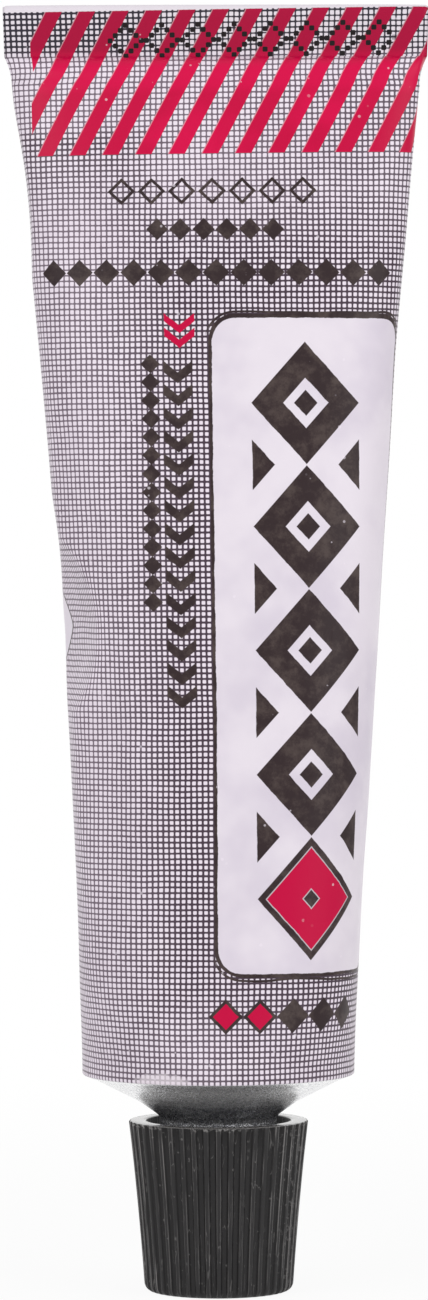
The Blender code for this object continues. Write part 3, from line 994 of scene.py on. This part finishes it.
glue = make_glue()
glue_finish, tree, shader, solid = new_material("clear_gel")
bubbles, streaks = worn_by(tree, solid, 700.0, 0.20, 200.0, 0.3)
gel = layered(
    tree,
    from_screen(214, 198, 150),
    (from_screen(232, 222, 188), cloud(tree, solid, 160.0, 3.0)),
    (from_screen(245, 240, 222), bubbles),
)
finish(tree, shader, gel, 0.12)
bumped(tree, shader, either(tree, bubbles, streaks), 0.3, 0.1 * MM)
glue.data.materials.append(glue_finish)
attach(glue, "tube")
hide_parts("adhesive_fill")

# The sealing compound, a dull rubbery strip that was sprayed inside the open end before it was
# folded over.
compound, tree, shader, solid = new_material("sealing_compound_strip")
flow = cloud(tree, solid, 500.0, 4.0, 0.6)
tone = paint(tree, from_screen(176, 142, 84), from_screen(204, 176, 122), flow)
finish(tree, shader, tone, plus(tree, 0.5, times(tree, flow, 0.3)))
bumped(tree, shader, flow, 0.3, 0.05 * MM)
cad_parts["end_seal_band"].material_slots[0].material = compound

# The screw cap, moulded in black plastic: 44 ribs from its rounded end to its flat rim, a wide
# mouth round the neck, an inner thread, and a piercing point sunk in its end.
CAP_HEIGHT = 15.7 * MM
CAP_END_RADIUS = 6.8 * MM
CAP_RIM_RADIUS = 8.25 * MM
CAP_SIDE_SAG = 0.1 * MM
CAP_CORNER = 0.8 * MM
CAP_RIM_EDGE = 0.16 * MM
RIB_COUNT = 44
RIB_DEPTH = 0.26 * MM
RIB_CREST = 0.14
RIB_ROOT = 0.34
RIB_PHASES = (-0.5, -0.36, -0.31, -0.26, -0.21, -0.17, -0.12, 0.0, 0.12, 0.17, 0.21, 0.26, 0.31, 0.36)
MOUTH_RADIUS = 6.6 * MM
MOUTH_DEPTH = 1.7 * MM
BORE_RADIUS = 5.65 * MM
BORE_FLOOR = 4.7 * MM
RECESS_RADIUS = 5.65 * MM
RECESS_DEPTH = 3.3 * MM
POINT_TIP = (0.2 * MM, 0.3 * MM)
POINT_BASE = 1.7 * MM
OUTSIDE_RADIUS = 6.35 * MM
WORN_RIM_RADIUS = 7.8 * MM
WORN_RIM_DEPTH = 0.30 * MM
RIM_TOP_DEPTH = 0.05 * MM
SCUFFED_SIDE = 5.6 * MM
FAR_SIDE = 4.8 * MM


def cap_side(height):
    share = height / CAP_HEIGHT
    return mix(CAP_END_RADIUS, CAP_RIM_RADIUS, share) - 4 * CAP_SIDE_SAG * share * (1 - share)


def cap_levels():
    """(radius, height, rib depth) from the piercing point out, up the side, and down the bore."""
    levels = [
        (*POINT_TIP, 0.0),
        (POINT_BASE - 0.05 * MM, RECESS_DEPTH - 0.25 * MM, 0.0),
        (POINT_BASE + 0.2 * MM, RECESS_DEPTH, 0.0),
        (RECESS_RADIUS - 0.3 * MM, RECESS_DEPTH, 0.0),
        (RECESS_RADIUS, RECESS_DEPTH - 0.3 * MM, 0.0),
        (RECESS_RADIUS, 0.15 * MM, 0.0),
        (RECESS_RADIUS + 0.04 * MM, 0.04 * MM, 0.0),
        (RECESS_RADIUS + 0.15 * MM, 0.0, 0.0),
    ]
    for i in range(7):
        turn = math.pi / 2 * i / 6
        radius = cap_side(CAP_CORNER) - CAP_CORNER * (1 - math.sin(turn))
        levels.append((radius, CAP_CORNER * (1 - math.cos(turn)), RIB_DEPTH * math.sin(turn)))
    side_top = CAP_HEIGHT - CAP_RIM_EDGE
    for i in range(1, 9):
        height = mix(CAP_CORNER, side_top, i / 8)
        levels.append((cap_side(height), height, RIB_DEPTH))
    for i in range(1, 4):
        turn = math.pi / 2 * i / 3
        radius = cap_side(side_top) - CAP_RIM_EDGE * (1 - math.cos(turn))
        height = side_top + CAP_RIM_EDGE * math.sin(turn)
        levels.append((radius, height, (RIB_DEPTH - CAP_RIM_EDGE) * math.cos(turn * 0.6)))
    shelf = CAP_HEIGHT - MOUTH_DEPTH
    levels += [
        (MOUTH_RADIUS + 0.5 * MM, CAP_HEIGHT, 0.0),
        (MOUTH_RADIUS + 0.12 * MM, CAP_HEIGHT, 0.0),
        (MOUTH_RADIUS, CAP_HEIGHT - 0.12 * MM, 0.0),
        (MOUTH_RADIUS, shelf + 0.2 * MM, 0.0),
        (MOUTH_RADIUS - 0.2 * MM, shelf, 0.0),
        (BORE_RADIUS + 0.25 * MM, shelf, 0.0),
        (BORE_RADIUS, shelf - 0.25 * MM, 0.0),
        (BORE_RADIUS, BORE_FLOOR + 0.2 * MM, 0.0),
        (BORE_RADIUS - 0.2 * MM, BORE_FLOOR, 0.0),
        (1.0 * MM, BORE_FLOOR, 0.0),
    ]
    return levels


def make_cap():
    bm = bmesh.new()
    pitch = 2 * math.pi / RIB_COUNT
    ring = bmesh.ops.create_circle(bm, segments=RIB_COUNT * len(RIB_PHASES), radius=1.0)["verts"]
    for i, vert in enumerate(ring):
        rib, step = divmod(i, len(RIB_PHASES))
        angle = (rib + RIB_PHASES[step]) * pitch
        vert.co = (math.cos(angle), math.sin(angle), 0.0)
    edges = list(bm.edges)
    for i, (radius, height, depth) in enumerate(cap_levels()):
        if i:
            grown = bmesh.ops.extrude_edge_only(bm, edges=edges)["geom"]
            ring = [part for part in grown if isinstance(part, bmesh.types.BMVert)]
            edges = [part for part in grown if isinstance(part, bmesh.types.BMEdge)]
        for vert in ring:
            angle = math.atan2(vert.co.y, vert.co.x)
            phase = abs(angle / pitch - round(angle / pitch))
            share = min(max((phase - RIB_CREST) / (RIB_ROOT - RIB_CREST), 0.0), 1.0)
            reach = radius - depth * share * share * (3 - 2 * share)
            vert.co = (reach * math.cos(angle), reach * math.sin(angle), height)
    return finished(bm, "ribbed_cap")


def make_cap_plastic():
    made, tree, shader, solid = new_material("worn_black_plastic")
    x, y, z = split(tree, solid)
    reach = root_of_squares(tree, x, y)
    ribs = times(tree, calc(tree, "ARCTAN2", y, x), RIB_COUNT / (2 * math.pi))
    phase = absolute(tree, around_half(tree, calc(tree, "FRACT", plus(tree, ribs, 0.5)), 1.0))
    outside = step_up(tree, reach, OUTSIDE_RADIUS, 0.3 * MM)
    crest = both(tree, step_down(tree, phase, 0.20, 0.14), outside)
    stretched = place(tree, "ShaderNodeMapping")
    fill(tree, stretched, {"Vector": solid, "Scale": (1.0, 1.0, 0.12)})
    uneven = cloud(tree, stretched.outputs[0], 900.0, 3.0, 0.6)
    edge = both(tree, between(tree, phase, 0.13, 0.19, 0.04), outside, step_up(tree, uneven, 0.50, 0.16))
    specks, scratches = worn_by(tree, solid, 3000.0, 0.04, 1500.0, 0.45)
    right_side = step_up(tree, x, SCUFFED_SIDE, 2.0 * MM)
    scuffs = both(tree, step_up(tree, cloud(tree, solid, 1700.0, 3.0, 0.7), 0.60, 0.06), right_side, outside)
    rim_top = both(tree, step_up(tree, z, CAP_HEIGHT - RIM_TOP_DEPTH, 0.06 * MM), outside)
    rim = both(
        tree,
        step_up(tree, z, CAP_HEIGHT - WORN_RIM_DEPTH, 0.2 * MM),
        step_up(tree, reach, WORN_RIM_RADIUS, 0.2 * MM),
    )
    worn_part = step_up(tree, cloud(tree, solid, 260.0, 2.0), 0.52, 0.12)
    chips = both(tree, rim, worn_part, step_up(tree, cloud(tree, solid, 3200.0, 2.0), 0.54, 0.06))
    grain = cloud(tree, solid, 3400.0, 3.0, 0.7)
    streaks = cloud(tree, stretched.outputs[0], 420.0, 4.0, 0.65)
    # The worn pale rib edges are painted stronger on the left and right sides of the cap, a painted
    # highlight.
    side_highlight = step_up(tree, absolute(tree, x), FAR_SIDE, 1.6 * MM)
    edge = both(tree, edge, plus(tree, 0.35, times(tree, side_highlight, 0.65)))
    scuffed = either(tree, specks, scratches, scuffs)
    streaky = times(tree, plus(tree, streaks, grain), 0.5)
    tone = layered(
        tree,
        from_screen(8, 7, 8),
        (from_screen(32, 30, 31), streaky),
        (from_screen(42, 41, 42), times(tree, crest, 0.22)),
        (from_screen(132, 129, 128), times(tree, edge, 0.9)),
        (from_screen(136, 133, 132), times(tree, scuffed, 0.34)),
        (from_screen(180, 177, 175), times(tree, chips, 0.6)),
        # the rim's flat top is painted a lighter grey than the black plastic, a painted reflection, besides
        # its real glossy coat
        (from_screen(96, 93, 91), rim_top),
    )
    rough = plus(tree, 0.44, times(tree, grain, 0.2))
    finish(tree, shader, tone, minus(tree, rough, times(tree, rim_top, 0.36)))
    tree.links.new(times(tree, rim_top, 0.7), shader.inputs["Coat Weight"])
    shader.inputs["Coat Roughness"].default_value = 0.08
    shader.inputs["Specular IOR Level"].default_value = 0.36
    rugged = times(tree, plus(tree, grain, specks), invert(tree, rim_top))
    bumped(tree, shader, rugged, 0.35, 0.06 * MM)
    return made


cap = make_cap()
cap.data.materials.append(make_cap_plastic())
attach(cap, "cap")
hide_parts("screw_cap")

# The cap's inner thread, moulded with the cap and half a pitch away from the neck's, so that the
# two mesh.
CAP_THREAD_TURNS = 5.0
CAP_THREAD_CREST = 5.12 * MM
CAP_THREAD_START = NECK_THREAD_START - THREAD_PITCH / 2
cap_thread = make_thread(
    "cap_thread",
    BORE_RADIUS + THREAD_SINK,
    CAP_THREAD_CREST,
    MOUTH_Z + CAP_THREAD_START,
    CAP_THREAD_TURNS,
)
cap_thread.data.materials.append(cap.data.materials[0])
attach(cap_thread, "cap")

# The sealing wad in the cap: a disc of soft white foam with the ring that the neck's mouth has
# pressed into it.
WAD_EDGE = 0.12 * MM
WAD_STEPS = 96
RING_DEPTH = 0.10 * MM
RING_SLOPE = 0.2 * MM
wad_low, wad_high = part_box("cap_liner")
wad_radius, wad_foot, wad_top = wad_high[0], wad_low[2], wad_high[2]
bm = bmesh.new()
spun(
    bm,
    [
        (0.0, wad_top),
        (MOUTH_BORE_RADIUS, wad_top),
        (MOUTH_BORE_RADIUS + RING_SLOPE, wad_top - RING_DEPTH),
        (THREAD_ROOT_RADIUS - RING_SLOPE, wad_top - RING_DEPTH),
        (THREAD_ROOT_RADIUS, wad_top),
        (wad_radius - WAD_EDGE, wad_top),
        (wad_radius, wad_top - WAD_EDGE),
        (wad_radius, wad_foot + WAD_EDGE),
        (wad_radius - WAD_EDGE, wad_foot),
        (0.0, wad_foot),
    ],
    WAD_STEPS,
)
liner = finished(bm, "foam_wad")
foam, tree, shader, solid = new_material("white_foam")
pores, creases = worn_by(tree, solid, 3200.0, 0.5, 600.0, 0.3)
tone = layered(
    tree,
    from_screen(232, 230, 224),
    (from_screen(214, 210, 200), cloud(tree, solid, 700.0, 3.0)),
    (from_screen(180, 176, 166), times(tree, pores, 0.5)),
)
finish(tree, shader, tone, 0.8)
bumped(tree, shader, invert(tree, either(tree, pores, creases)), 0.4, 0.05 * MM)
liner.data.materials.append(foam)
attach(liner, "liner")
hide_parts("cap_liner")

# Studio: a pale floor and backdrop, soft lamps, and a camera level with the tube's middle.
FLOOR_HALF = 3.0
floor_mesh = bpy.data.meshes.new("floor")
bm = bmesh.new()
bmesh.ops.create_grid(bm, x_segments=1, y_segments=1, size=FLOOR_HALF)
bm.to_mesh(floor_mesh)
bm.free()
floor = added("floor", floor_mesh)

WHITE = (1.0, 1.0, 1.0, 1.0)
FLOOR_GLOW = 0.92
FLOOR_NEAR = 0.04
FLOOR_FAR = 0.22
floor_paint, tree, shader, solid = new_material("floor_paint")
finish(tree, shader, (0.80, 0.80, 0.80, 1.0), 0.9)
glow = place(tree, "ShaderNodeEmission")
paths = place(tree, "ShaderNodeLightPath").outputs
seen = either(tree, paths["Is Camera Ray"], paths["Is Glossy Ray"])
spot = split(tree, solid)
away = root_of_squares(tree, spot["X"], spot["Y"])
far = step_up(tree, away, (FLOOR_NEAR + FLOOR_FAR) / 2, FLOOR_FAR - FLOOR_NEAR)
level = plus(tree, FLOOR_GLOW, times(tree, far, 1 - FLOOR_GLOW))
mixed = place(tree, "ShaderNodeMixShader")
feed(tree, mixed.inputs[0], times(tree, seen, level))
tree.links.new(shader.outputs[0], mixed.inputs[1])
tree.links.new(glow.outputs[0], mixed.inputs[2])
tree.links.new(mixed.outputs[0], tree.nodes["Material Output"].inputs["Surface"])
floor_mesh.materials.append(floor_paint)

WORLD_LIGHT = 0.62
world = bpy.data.worlds.new("studio")
bpy.context.scene.world = world
world.use_nodes = True
tree = world.node_tree
sky = tree.nodes["Background"]
paths = place(tree, "ShaderNodeLightPath").outputs
shown = either(tree, paths["Is Camera Ray"], paths["Is Glossy Ray"])
feed(tree, sky.inputs["Strength"], plus(tree, WORLD_LIGHT, times(tree, shown, 1 - WORLD_LIGHT)))
sky.inputs["Color"].default_value = WHITE


def soft_lamp(name, where, aim, size, power):
    lamp = bpy.data.lights.new(name, "AREA")
    lamp.shape = "SQUARE"
    lamp.size = size
    lamp.energy = power
    made = added(name, lamp)
    made.location = where
    made.rotation_euler = (Vector(aim) - Vector(where)).to_track_quat("-Z", "Y").to_euler()


LAMP_AIM = (0.0, 0.0, 0.06)
soft_lamp("left_lamp", (-0.45, -0.55, 0.45), LAMP_AIM, 0.45, 2.0)
soft_lamp("right_lamp", (0.55, -0.45, 0.30), LAMP_AIM, 0.45, 1.6)

CAMERA_PLACE = Vector((-0.0003, -0.515, 0.0685))
CAMERA_AIM = Vector((-0.0003, 0.0, 0.0589))
CAMERA_LENS = 155.3
CAMERA_ROLL = math.radians(-0.15)
camera_data = bpy.data.cameras.new("camera")
camera_data.lens = CAMERA_LENS
camera_data.sensor_width = 36.0
camera = added("camera", camera_data)
camera.location = CAMERA_PLACE
looking = (CAMERA_AIM - CAMERA_PLACE).to_track_quat("-Z", "Y")
camera.rotation_euler = (looking @ Quaternion((0, 0, 1), CAMERA_ROLL)).to_euler()
bpy.context.scene.camera = camera
bpy.context.scene.view_settings.view_transform = "Standard"
